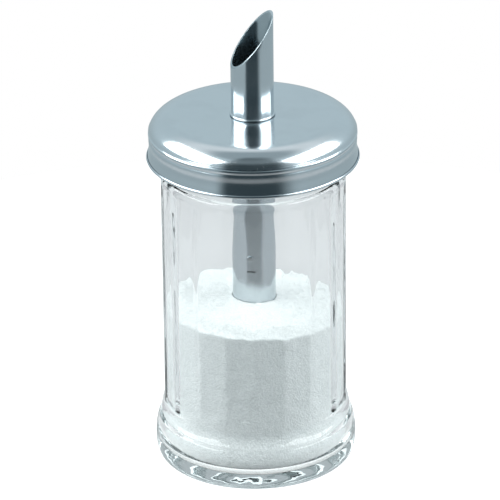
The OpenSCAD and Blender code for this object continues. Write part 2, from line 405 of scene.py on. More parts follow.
@dataclass
class Nodes:
    """A small builder for the node tree of a material, group or world."""

    tree: bpy.types.NodeTree

    def add(self, kind: str, inputs: dict | None = None, **attrs: object) -> bpy.types.Node:
        """Adds a node.

        Args:
            kind: The node's type name without its ShaderNode prefix.
            inputs: Values or output sockets, by the input's name or number.
            attrs: The node's own properties.

        Returns:
            The new node.
        """
        node = self.tree.nodes.new("ShaderNode" + kind)
        for key, value in attrs.items():
            setattr(node, key, value)
        for key, value in (inputs or {}).items():
            if isinstance(value, bpy.types.NodeSocket):
                self.tree.links.new(value, node.inputs[key])
            else:
                node.inputs[key].default_value = value
        return node

    def math(self, operation: str, a: object, b: object = 0.0, c: object = 0.0) -> bpy.types.NodeSocket:
        """The result of a sum on two or three values or sockets."""
        return self.add("Math", {0: a, 1: b, 2: c}, operation=operation).outputs[0]

    def span(self, x: object, lo: float, hi: float, out0: float = 0.0,
             out1: float = 1.0) -> bpy.types.NodeSocket:
        """A soft step of x from out0 at lo to out1 at hi."""
        n = self.add("MapRange", {"Value": x, "From Min": lo, "From Max": hi, "To Min": out0, "To Max": out1},
                     interpolation_type="SMOOTHSTEP")
        return n.outputs[0]

    def mix(self, factor: object, a: object, b: object, blend: str = "MIX") -> bpy.types.NodeSocket:
        """A mix of two colours."""
        n = self.add("Mix", {"Factor": factor}, data_type="RGBA", blend_type=blend)
        for key, value in ((6, a), (7, b)):
            if isinstance(value, bpy.types.NodeSocket):
                self.tree.links.new(value, n.inputs[key])
            else:
                n.inputs[key].default_value = value
        return n.outputs[2]

    def bump(self, height: bpy.types.NodeSocket, strength: float, distance: float,
             normal: bpy.types.NodeSocket | None = None) -> bpy.types.NodeSocket:
        """A normal bent by a height, on top of another one if given."""
        n = self.add("Bump", {"Strength": strength, "Distance": distance, "Height": height})
        if normal is not None:
            self.tree.links.new(normal, n.inputs["Normal"])
        return n.outputs[0]


def grey(v: float) -> tuple[float, float, float, float]:
    """A neutral colour."""
    return v, v, v, 1.0


@dataclass
class Effects:
    """Node groups that several finishes share, each built once."""

    groups: dict[str, bpy.types.NodeTree] = field(default_factory=dict)

    def _start(self, name: str, inputs: dict[str, float],
               outputs: Sequence[str]) -> tuple[Nodes, object, object]:
        """Opens a new group with a Vector input, plain number inputs and value outputs."""
        tree = bpy.data.node_groups.new(name, "ShaderNodeTree")
        tree.interface.new_socket("Vector", in_out="INPUT", socket_type="NodeSocketVector")
        for key, value in inputs.items():
            number = tree.interface.new_socket(key, in_out="INPUT", socket_type="NodeSocketFloat")
            number.default_value = value
        for key in outputs:
            tree.interface.new_socket(key, in_out="OUTPUT", socket_type="NodeSocketFloat")
        self.groups[name] = tree
        return Nodes(tree), tree.nodes.new("NodeGroupInput"), tree.nodes.new("NodeGroupOutput")

    def turned_lines(self) -> bpy.types.NodeTree:
        """Fine rings left by spinning and polishing round the vertical axis, with a slow waviness."""
        if "turned_lines" in self.groups:
            return self.groups["turned_lines"]
        n, src, dst = self._start("turned_lines", {"Scale": 1.0}, ("Fine", "Slow"))
        xyz = n.add("SeparateXYZ", {0: src.outputs["Vector"]}).outputs
        squares = [n.math("MULTIPLY", xyz[i], xyz[i]) for i in (0, 1)]
        radius = n.math("SQRT", n.math("ADD", *squares))
        fine_at = n.add("CombineXYZ", {0: radius, 1: xyz[2]}).outputs[0]
        fine = n.add("TexNoise", {"Vector": fine_at,
                                  "Scale": n.math("MULTIPLY", src.outputs["Scale"], 5200.0),
                                  "Detail": 4.0, "Roughness": 0.7})
        slow = n.add("TexNoise", {"Vector": src.outputs["Vector"],
                                  "Scale": n.math("MULTIPLY", src.outputs["Scale"], 70.0), "Detail": 2.0})
        n.tree.links.new(fine.outputs[0], dst.inputs["Fine"])
        n.tree.links.new(slow.outputs[0], dst.inputs["Slow"])
        return n.tree

    def speckle(self) -> bpy.types.NodeTree:
        """Small handling marks: fine hairlines and faint smudges."""
        if "speckle" in self.groups:
            return self.groups["speckle"]
        n, src, dst = self._start("speckle", {"Scale": 1.0}, ("Hairlines", "Smudge"))
        cells = n.add("TexVoronoi", {"Vector": src.outputs["Vector"],
                                     "Scale": n.math("MULTIPLY", src.outputs["Scale"], 420.0)},
                      feature="DISTANCE_TO_EDGE")
        line = n.span(cells.outputs[0], 0.0, 0.012, 1.0, 0.0)
        patch = n.add("TexNoise", {"Vector": src.outputs["Vector"],
                                   "Scale": n.math("MULTIPLY", src.outputs["Scale"], 95.0), "Detail": 3.0})
        keep = n.span(patch.outputs[0], 0.6, 0.72)
        n.tree.links.new(n.math("MULTIPLY", line, keep), dst.inputs["Hairlines"])
        n.tree.links.new(n.span(patch.outputs[0], 0.42, 0.7), dst.inputs["Smudge"])
        return n.tree


@dataclass(frozen=True)
class Finish:
    """What every finish has: a name and the effects it may use."""

    name: str

    def start(self) -> tuple[bpy.types.Material, Nodes, bpy.types.Node]:
        """Makes an empty material and its output node.

        Returns:
            The material, its node builder and the output node.
        """
        mat = bpy.data.materials.new(self.name)
        mat.use_nodes = True
        mat.node_tree.nodes.clear()
        n = Nodes(mat.node_tree)
        return mat, n, n.add("OutputMaterial")

    def place(self, n: Nodes) -> bpy.types.NodeSocket:
        """The object coordinates, which lie in the dispenser's frame."""
        return n.add("TexCoord").outputs["Object"]


@dataclass(frozen=True)
class Steel(Finish):
    """Stainless steel, from mirror-polished to plain drawn."""

    tint: tuple[float, float, float] = (0.60, 0.655, 0.685)
    roughness: float = 0.15
    grain: float = 0.05
    wave: float = 0.02

    def make(self, effects: Effects) -> bpy.types.Material:
        """Builds the material.

        Args:
            effects: The shared effects.

        Returns:
            The material.
        """
        mat, n, out = self.start()
        at = self.place(n)
        rings = n.add("Group", {"Vector": at}, node_tree=effects.turned_lines())
        marks = n.add("Group", {"Vector": at}, node_tree=effects.speckle())
        r = self.roughness
        rough = n.math("ADD", n.math("MULTIPLY_ADD", rings.outputs["Fine"], r * 0.5, r * 0.75),
                       n.math("MULTIPLY", marks.outputs["Smudge"], r * 0.35))
        rough = n.math("ADD", rough, n.math("MULTIPLY", marks.outputs["Hairlines"], 0.08))
        dull = tuple(c * 0.93 for c in self.tint) + (1.0,)
        colour = n.mix(n.math("MULTIPLY", marks.outputs["Smudge"], 0.5), self.tint + (1.0,), dull)
        normal = n.bump(rings.outputs["Fine"], self.grain, 0.00001)
        normal = n.bump(rings.outputs["Slow"], self.wave, 0.0006, normal)
        bsdf = n.add("BsdfPrincipled", {"Base Color": colour, "Metallic": 1.0, "Roughness": rough,
                                        "Normal": normal})
        n.tree.links.new(bsdf.outputs[0], out.inputs["Surface"])
        return mat


@dataclass(frozen=True)
class ClearGlass(Finish):
    """Pressed clear glass with a faint green depth. Lamps shine through it."""

    tint: tuple[float, float, float] = (0.91, 0.915, 0.92)
    depth: tuple[float, float, float] = (0.62, 0.78, 0.80)
    density: float = 9.0
    ior: float = 1.5

    def make(self, effects: Effects) -> bpy.types.Material:
        """Builds the material.

        Args:
            effects: The shared effects.

        Returns:
            The material.
        """
        mat, n, out = self.start()
        at = self.place(n)
        stretched = n.add("Mapping", {"Vector": at, "Scale": (1.0, 1.0, 0.3)}).outputs[0]
        wavy = n.add("TexNoise", {"Vector": stretched, "Scale": 85.0, "Detail": 2.0, "Roughness": 0.45})
        chill = n.add("TexNoise", {"Vector": at, "Scale": 420.0, "Detail": 1.0})
        marks = n.add("Group", {"Vector": at}, node_tree=effects.speckle())
        normal = n.bump(wavy.outputs[0], 0.32, 0.0006)
        normal = n.bump(chill.outputs[0], 0.05, 0.0001, normal)
        rough = n.math("MULTIPLY", marks.outputs["Smudge"], 0.02)
        bsdf = n.add("BsdfPrincipled", {"Base Color": self.tint + (1.0,), "Metallic": 0.0, "Roughness": rough,
                                        "IOR": self.ior, "Transmission Weight": 1.0, "Normal": normal})
        clear = n.add("BsdfTransparent", {"Color": (0.93, 0.96, 0.96, 1)})
        path = n.add("LightPath").outputs
        lamp = n.math("MAXIMUM", path["Is Shadow Ray"], path["Is Diffuse Ray"])
        mixed = n.add("MixShader", {0: lamp, 1: bsdf.outputs[0], 2: clear.outputs[0]})
        n.tree.links.new(mixed.outputs[0], out.inputs["Surface"])
        body = n.add("VolumeAbsorption", {"Color": self.depth + (1.0,), "Density": self.density})
        n.tree.links.new(body.outputs[0], out.inputs["Volume"])
        return mat


@dataclass(frozen=True)
class Sugar(Finish):
    """Fine white sugar: bright grains of random tone, with painted shade in the gaps between them and in the
    low spots of the clods.
    """

    def make(self, effects: Effects) -> bpy.types.Material:
        """Builds the material.

        Args:
            effects: The shared effects, none of which sugar needs.

        Returns:
            The material.
        """
        mat, n, out = self.start()
        at = self.place(n)
        grains = n.add("TexVoronoi", {"Vector": at, "Scale": 1700.0, "Randomness": 1.0})
        dust = n.add("TexNoise", {"Vector": at, "Scale": 900.0, "Detail": 3.0, "Roughness": 0.7})
        clods = n.add("TexNoise", {"Vector": at, "Scale": 190.0, "Detail": 4.0, "Roughness": 0.6})
        tone = n.add("SeparateColor", {0: grains.outputs["Color"]}).outputs[0]
        shade = n.math("MULTIPLY_ADD", tone, 0.06, 0.93)
        # Painted shade: darker towards the gaps between the grains, and where the clod bump is low.
        gap = n.span(grains.outputs["Distance"], 0.35, 0.75, 0.0, 0.09)
        shade = n.math("SUBTRACT", shade, gap)
        shade = n.math("SUBTRACT", shade, n.span(clods.outputs[0], 0.55, 0.25, 0.0, 0.05))
        colour = n.add("CombineColor", {0: shade, 1: n.math("MULTIPLY", shade, 0.98),
                                        2: n.math("MULTIPLY", shade, 0.965)}).outputs[0]
        normal = n.bump(grains.outputs["Distance"], 0.4, 0.0003)
        normal = n.bump(dust.outputs[0], 0.3, 0.0002, normal)
        normal = n.bump(clods.outputs[0], 0.4, 0.0012, normal)
        bsdf = n.add("BsdfPrincipled", {"Base Color": colour, "Roughness": 0.75, "Normal": normal})
        n.tree.links.new(bsdf.outputs[0], out.inputs["Surface"])
        return mat


@dataclass(frozen=True)
class Moulded(Finish):
    """Moulded plastic or soft rubber: fine even texture, slight random changes of tone and smudges."""

    colour: tuple[float, float, float] = (0.82, 0.82, 0.80)
    roughness: float = 0.45
    texture: float = 0.15

    def make(self, effects: Effects) -> bpy.types.Material:
        """Builds the material.

        Args:
            effects: The shared effects.

        Returns:
            The material.
        """
        mat, n, out = self.start()
        at = self.place(n)
        skin = n.add("TexNoise", {"Vector": at, "Scale": 2600.0, "Detail": 2.0})
        flow = n.add("TexNoise", {"Vector": at, "Scale": 60.0, "Detail": 3.0})
        marks = n.add("Group", {"Vector": at}, node_tree=effects.speckle())
        worn = tuple(c * 0.88 for c in self.colour) + (1.0,)
        colour = n.mix(n.math("MULTIPLY", flow.outputs[0], 0.5), self.colour + (1.0,), worn)
        rough = n.math("MULTIPLY_ADD", marks.outputs["Smudge"], 0.15, self.roughness)
        normal = n.bump(skin.outputs[0], self.texture, 0.00008)
        bsdf = n.add("BsdfPrincipled", {"Base Color": colour, "Roughness": rough, "Normal": normal,
                                        "Specular IOR Level": 0.4})
        n.tree.links.new(bsdf.outputs[0], out.inputs["Surface"])
        return mat


@dataclass
class Dresser:
    """Gives each piece its finish, its body and the solid it stands for."""

    effects: Effects
    made: dict[str, bpy.types.Material] = field(default_factory=dict)

    def material(self, finish: Finish) -> bpy.types.Material:
        """The material of a finish, made at its first use."""
        if finish.name not in self.made:
            self.made[finish.name] = finish.make(self.effects)
        return self.made[finish.name]

    def wear(self, bench: Bench, finish: Finish, body: Body, node: str) -> bpy.types.Object:
        """Dresses a piece that replaces a solid.

        Args:
            bench: The bench with the piece.
            finish: Its finish.
            body: The moving group that carries it.
            node: The solid it stands for.

        Returns:
            The piece.
        """
        piece = bench.piece
        piece.data.materials.clear()
        piece.data.materials.append(self.material(finish))
        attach(piece, body.value)
        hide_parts(node)
        LOG.info("%s: %d faces on %s", piece.name, len(piece.data.polygons), body.value)
        return piece


# ---------------------------------------------------------------- the jar and its sugar


@dataclass
class GlassJar:
    """The pressed glass jar: foot, collar, facets with rounded ridges, shoulder, threaded neck."""

    finish: ClearGlass
    height: float = 122.0
    flat_r: float = 32.4
    ridge_r: float = 32.75
    facets: int = 18
    inner_r: float = 29.1
    flute: float = 0.42
    foot_r: float = 35.8
    foot_h: float = 14.8
    widest_z: float = 6.2
    collar_top: float = 24.4
    shoulder_z: float = 109.0
    neck_r: float = 30.9
    mouth_r: float = 28.3
    punt_r: float = 26.3
    punt_h: float = 1.5
    per_facet: int = 20

    def outline(self) -> Outline:
        """The jar's section from the middle of its foot round the rim to the middle of its floor."""
        lip_r, lip_z = self.flat_r + 1.3, self.foot_h + 1.3
        shares = (0, 0.15, 0.3, 0.45, 0.6, 0.75, 0.88, 0.97)
        under = [(self.punt_r * t, self.punt_h * (1 - t * t)) for t in shares]
        under += [(self.punt_r + 0.15, 0.02), (self.punt_r + 0.6, 0), (self.foot_r - 2.6, 0)]
        foot = bow((self.foot_r - 1.9, self.widest_z), 1.9, self.widest_z, -88, 0, 14)
        foot += bow((self.foot_r - 2.0, self.widest_z), 2.0, self.foot_h - self.widest_z, 6, 76, 12)
        groove = [(lip_r - 0.46, self.foot_h - 0.05), (lip_r - 0.62, self.foot_h + 0.12),
                  (lip_r - 0.5, self.foot_h + 0.4), (lip_r - 0.2, self.foot_h + 0.75)]
        collar = ess((lip_r, lip_z), (self.flat_r, self.collar_top), 22)[1:]
        sides = rise(self.flat_r, self.collar_top, self.flat_r, self.shoulder_z - 5, 12)[1:]
        sides += rise(self.flat_r, self.shoulder_z - 5, self.flat_r, self.shoulder_z - 2.5, 5)[1:]
        top = bow((self.neck_r, self.shoulder_z - 2.5), self.flat_r - self.neck_r, 2.5, 6, 84, 12)
        neck = [(self.neck_r + 0.1, self.shoulder_z + 0.02)] + rise(self.neck_r, self.shoulder_z + 0.3,
                                                                     self.neck_r, self.height - 0.7, 8)
        rim = bow((self.neck_r - 0.7, self.height - 0.7), 0.7, 0.7, 8, 90, 6)
        rim += bow((self.mouth_r + 0.6, self.height - 0.6), 0.6, 0.6, 90, 176, 6)
        inside = rise(self.mouth_r, self.height - 1, self.mouth_r, self.shoulder_z + 1, 4)
        inside += ess((self.mouth_r, self.shoulder_z + 1), (self.inner_r, self.shoulder_z - 4), 10)[1:]
        inside += rise(self.inner_r, self.shoulder_z - 5, self.inner_r, HOLLOW.top_z + 1, 14)
        return under + foot + groove + collar + sides + top + neck + rim + inside + HOLLOW.line(0)

    def wall(self, degrees: float, z: float, turned: float) -> float:
        """The outside radius at a height, with the facets pressed in.

        Args:
            degrees: Angle from the middle of a facet, 0 to half a facet.
            z: Height in millimetres.
            turned: Radius of the turned outline at that height.

        Returns:
            The radius in millimetres.
        """
        flat = self.flat_r / math.cos(math.radians(degrees))
        pressed = soft_min(flat, self.ridge_r, 0.14)
        if z < self.collar_top + 0.01:
            return soft_max(turned, pressed, 0.3)
        fade = smooth(z, self.shoulder_z - 5.2, self.shoulder_z - 0.6)
        over = pressed + (self.flat_r + 0.12 - pressed) * fade
        return over * turned / self.flat_r

    def lining(self, degrees: float, z: float) -> float:
        """How much the inside is drawn in at a height, where the facets show through the wall."""
        return fluted(degrees, z, self.inner_r, self.flute) / self.inner_r

    def build(self) -> Bench:
        """Turns the jar, presses its facets and adds the thread.

        Returns:
            The bench with the jar.
        """
        jar = Bench("glass_jar").turn(self.outline(), self.facets * self.per_facet)
        bm = jar.edit()
        half = self.per_facet // 2
        step = 360 / (self.facets * self.per_facet)
        levels: dict[tuple[int, int], list] = {}
        for v in bm.verts:
            r, z = math.hypot(v.co.x, v.co.y) / MM, v.co.z / MM
            if self.foot_h + 1.5 < z < self.shoulder_z - 0.1 and r > (self.flat_r + self.inner_r) / 2:
                k = round(math.degrees(math.atan2(v.co.y, v.co.x)) / step) % self.per_facet
                levels.setdefault((round(z * 100), min(k, self.per_facet - k)), []).append((v, r))
        lined: dict[tuple[int, int], list] = {}
        for v in bm.verts:
            r, z = math.hypot(v.co.x, v.co.y) / MM, v.co.z / MM
            if HOLLOW.top_z + 0.5 < z < self.shoulder_z - 4 and self.flat_r - 0.5 > r > self.inner_r - 3.5:
                k = round(math.degrees(math.atan2(v.co.y, v.co.x)) / step) % self.per_facet
                lined.setdefault((round(z * 100), min(k, self.per_facet - k)), []).append(v)
        for (level, k), verts in lined.items():
            factor = self.lining(k * step, level / 100)
            if abs(factor - 1) > 1e-5:
                jar.rescale(verts, factor)
        straight: dict[int, list] = {}
        for (level, k), found in levels.items():
            z, turned = level / 100, found[0][1]
            if k > half:
                continue
            if self.collar_top + 0.1 < z < self.shoulder_z - 5.3:
                straight.setdefault(k, []).extend(found)
                continue
            factor = self.wall(k * step, z, turned) / turned
            if abs(factor - 1) > 1e-6:
                jar.rescale((v for v, _ in found), factor)
        for k, found in straight.items():
            jar.rescale((v for v, _ in found), self.wall(k * step, 60, self.flat_r) / self.flat_r)
        jar.done()
        thread = helix("glass_thread", self.neck_r, self.neck_r + 1.3, self.height - 5.4, 4.0, 2.2, 1.2)
        jar.cut(thread, "UNION")
        return jar.polish(50)

    def dress(self, dresser: Dresser) -> None:
        """Builds the jar and gives it its glass."""
        dresser.wear(self.build(), self.finish, Body.JAR, "jar")


@dataclass
class SugarHeap:
    """The sugar, higher at the back left, ragged at the right, with a slot where the tube stands."""

    finish: Sugar
    fill_r: float = 28.98
    seat: float = 0.12
    top_z: float = 61.0
    heap_r: float = 150.0
    centre: tuple[float, float] = (-6.0, -4.0)
    slot_out: float = 7.62
    slot_in: float = 6.78
    slot_z: float = 51.8
    flute: float = 0.42
    clumps: tuple[tuple[float, float, float, float], ...] = (
        (-13.0, 20.0, 1.7, 8.0), (14.0, 20.0, 1.5, 3.2), (20.5, 16.0, 1.0, 2.4), (9.0, 25.0, 0.8, 2.6),
        (-25.0, 9.0, 0.8, 4.0), (24.0, 9.0, 0.9, 2.2), (3.0, -14.0, 0.5, 6.0), (-3.0, 9.0, 1.2, 5.0))

    def height(self, x: float, y: float) -> float:
        """The heap's height at a place.

        Args:
            x: Place along X in millimetres.
            y: Place along Y in millimetres.

        Returns:
            The height in millimetres.
        """
        dx, dy = x - self.centre[0], y - self.centre[1]
        z = self.top_z - self.heap_r + math.sqrt(self.heap_r ** 2 - dx * dx - dy * dy)
        for cx, cy, h, w in self.clumps:
            z += h * math.exp(-((x - cx) ** 2 + (y - cy) ** 2) / (w * w))
        out = math.hypot(x, y)
        far = smooth(out, 9, 22)
        z -= 2.6 * smooth(out, 23.5, 29.6) * smooth(-y, -8, 8)
        rough = noise.fractal(Vector((x, y, 3.0)) * 0.22, 1.0, 2.0, 4)
        fine = noise.fractal(Vector((x, y, 9.0)) * 1.1, 0.8, 2.0, 3)
        crumb = max(0.0, noise.noise(Vector((x, y, 21.0)) * 0.55)) ** 2
        return z + rough * (0.25 + 0.3 * far) + fine * 0.13 + crumb * (0.4 + 1.2 * far * smooth(x + y, 0, 20))

    def build(self) -> Bench:
        """Turns the fill, then heaps its top.

        Returns:
            The bench with the sugar.
        """
        r, top = self.fill_r, 60.0
        line = list(reversed(HOLLOW.line(self.seat))) + rise(r, HOLLOW.top_z + 1, r, top - 0.5, 24)
        line += rise(r - 0.1, top, self.slot_out + 0.1, top, 62)
        line += [(self.slot_out, top - 0.3), (self.slot_out, self.slot_z), (self.slot_in, self.slot_z),
                 (self.slot_in, top - 0.3)] + rise(self.slot_in - 0.1, top, 0, top, 12)
        heap = Bench("sugar_heap").turn(line, 360)
        bm = heap.edit()
        for v in bm.verts:
            z_mm = v.co.z / MM
            out = math.hypot(v.co.x, v.co.y) / MM
            if out > 15 and z_mm > HOLLOW.top_z:
                turn = math.degrees(math.atan2(v.co.y, v.co.x)) % 20
                k = fluted(min(turn, 20 - turn), z_mm, self.fill_r, self.flute) / self.fill_r
                k = 1 + (k - 1) * smooth(out, 15, 26)
                v.co.x, v.co.y = v.co.x * k, v.co.y * k
            if z_mm > self.slot_z + 0.5:
                x, y = v.co.x / MM, v.co.y / MM
                t = (z_mm - self.slot_z) / (top - self.slot_z)
                lift = (self.height(x, y) - top) * smooth(t, 0.1, 1.0)
                v.co.z += lift * MM
        bmesh.update_edit_mesh(heap.piece.data)
        return heap.done().polish(80)

    def dress(self, dresser: Dresser) -> None:
        """Builds the sugar and gives it its grain."""
        dresser.wear(self.build(), self.finish, Body.JAR, "sugar_fill")


# ---------------------------------------------------------------- the lid


@dataclass
class Lid:
    """The spun steel cap with its moulded thread ring, seal, washer and collar."""

    steel: Steel
    plain: Steel
    plastic: Moulded
    rubber: Moulded
    top_z: float = 129.5
    hem_z: float = 113.4
    wall: float = 0.6
    hem_r: float = 37.35
    shoulder_r: float = 36.55
    groove_r: float = 36.1
    crease_r: float = 36.26
    bead_r: float = 36.45
    waist_r: float = 36.35
    roll_r: float = 0.65
    round_w: float = 8.6
    round_h: float = 6.8
    hole_r: float = 7.65
    ring_r: float = 35.15
    bore_r: float = 32.55
    mouth_r: float = 28.6
    rim_z: float = 122.0
    collar_r: float = 12.5
    tube_r: float = 7.5

    def shell_outline(self) -> Outline:
        """The cap's section: over the top from the tube's hole to the hem's roll, and back inside."""
        w, round_z = self.wall, self.top_z - self.round_h
        roll_z, flat_r = self.hem_z + self.roll_r, self.shoulder_r - self.round_w
        crease_z, bead_z, waist_z = round_z - 0.8, round_z - 1.5, roll_z + 4.5
        groove_z, flare = round_z + 1.05, self.hem_r - self.roll_r

        def side(d: float) -> Outline:
            """The cap's outside, drawn in by d."""
            line = bow((flat_r, round_z), self.round_w - d, self.round_h - d, 90, 14.5, 44)
            line += [(self.groove_r + 0.33 - d, groove_z + 0.42), (self.groove_r + 0.34 - d, groove_z + 0.34),
                     (self.groove_r + 0.24 - d, groove_z + 0.2), (self.groove_r + 0.05 - d, groove_z + 0.04),
                     (self.groove_r - d, groove_z - 0.06), (self.groove_r + 0.1 - d, groove_z - 0.16)]
            line += bow((flat_r, round_z), self.round_w - d, self.round_h - d, 5.5, 0, 4)
            line += ess((self.shoulder_r - d, round_z), (self.crease_r - d, crease_z), 7)[1:]
            line += ess((self.crease_r - d, crease_z), (self.bead_r - d, bead_z), 7)[1:]
            line += ess((self.bead_r - d, bead_z), (self.waist_r - d, waist_z), 8)[1:]
            return line + ess((self.waist_r - d, waist_z), (flare + 0.15 - d, roll_z + 0.1), 10)[1:]

        lip = [(self.hole_r + 0.02, self.top_z - 0.35), (self.hole_r, self.top_z - 0.2),
               (self.hole_r + 0.06, self.top_z - 0.06), (self.hole_r + 0.2, self.top_z)]
        out = lip + rise(self.hole_r + 0.5, self.top_z, flat_r - 0.4, self.top_z, 12) + side(0)
        roll = bow((flare, roll_z), self.roll_r, self.roll_r, 62, -205, 26)
        back = list(reversed(side(w)))
        return out + roll + back + rise(flat_r - 0.5, self.top_z - w, self.hole_r + 0.1, self.top_z - w, 8)

    def shell(self) -> Bench:
        """The cap."""
        return Bench("steel_lid").turn(self.shell_outline(), 288, closed=True).polish(40)

    def thread_ring(self) -> Bench:
        """The moulded ring that carries the lid's thread, with ribs on the flange."""
        low, top = self.hem_z + 0.05, self.rim_z + 2.6
        line = [(self.bore_r, low + 0.3), (self.bore_r + 0.3, low), (self.ring_r - 0.3, low),
                (self.ring_r, low + 0.3),
                (self.ring_r, top - 2.4), (self.ring_r - 0.45, top - 0.6), (self.ring_r - 0.9, top),
                (self.mouth_r + 0.2, top), (self.mouth_r, top - 0.2), (self.mouth_r, top - 1.0),
                (self.mouth_r + 0.2, top - 1.2), (self.bore_r - 0.3, top - 1.2), (self.bore_r, top - 1.5)]
        ring = Bench("thread_ring_moulding").turn(line, 192, closed=True)
        ridge = helix("ring_thread", self.bore_r, 31.4, self.rim_z - 7.4, 4.0, 2.2, 1.2)
        return ring.join([ridge]).polish(40)

    def rings(self) -> list[tuple[Bench, Finish, Body, str, str]]:
        """The seal on the glass rim, the washer and the collar under the cap."""
        z = self.rim_z + 0.1
        seal = [(self.mouth_r, z + 0.25), (self.mouth_r + 0.25, z), (30.85, z), (31.1, z + 0.25),
                (31.1, z + 0.95),
                (30.85, z + 1.2), (30.4, z + 1.12), (29.3, z + 1.12), (self.mouth_r + 0.25, z + 1.2),
                (self.mouth_r, z + 0.95)]
        z = self.top_z - self.wall - 1.0
        washer = [(self.tube_r + 0.1, z + 0.15), (self.tube_r + 0.25, z), (self.collar_r - 0.2, z),
                  (self.collar_r, z + 0.2), (self.collar_r, z + 0.7), (self.collar_r - 0.2, z + 0.9),
                  (self.tube_r + 0.25, z + 0.9), (self.tube_r + 0.1, z + 0.75)]
        z -= 1.1
        inner, sleeve = self.tube_r + 0.05, self.tube_r + 1.0
        collar = [(inner, z - 5 + 0.2), (inner + 0.2, z - 5), (sleeve - 0.25, z - 5), (sleeve, z - 4.75)]
        collar += bow((sleeve + 0.8, z - 0.8), -0.8, 0.8, 0, 90, 8)
        collar += [(self.collar_r - 0.25, z), (self.collar_r, z + 0.2), (self.collar_r, z + 0.8),
                   (self.collar_r - 0.25, z + 1), (inner + 0.2, z + 1), (inner, z + 0.8)]
        steps = 128
        return [
            (Bench("rim_seal").turn(seal, 160, closed=True), self.rubber, Body.SEAL, "sealing_ring",
             "soft_seal"),
            (Bench("tube_seal").turn(washer, steps, closed=True), self.rubber, Body.WASHER, "tube_washer",
             "soft_seal"),
            (Bench("steel_collar").turn(collar, steps, closed=True), self.plain, Body.LID, "tube_collar",
             "steel"),
        ]

    def dress(self, dresser: Dresser) -> None:
        """Builds the cap and what is fixed inside it, and dresses them."""
        dresser.wear(self.shell(), self.steel, Body.LID, "lid_shell")
        dresser.wear(self.thread_ring(), self.plastic, Body.LID, "thread_ring")
        for bench, finish, body, node, slot in self.rings():
            dresser.wear(bench.polish(40), finish, body, node)


# ---------------------------------------------------------------- the tube and its flap


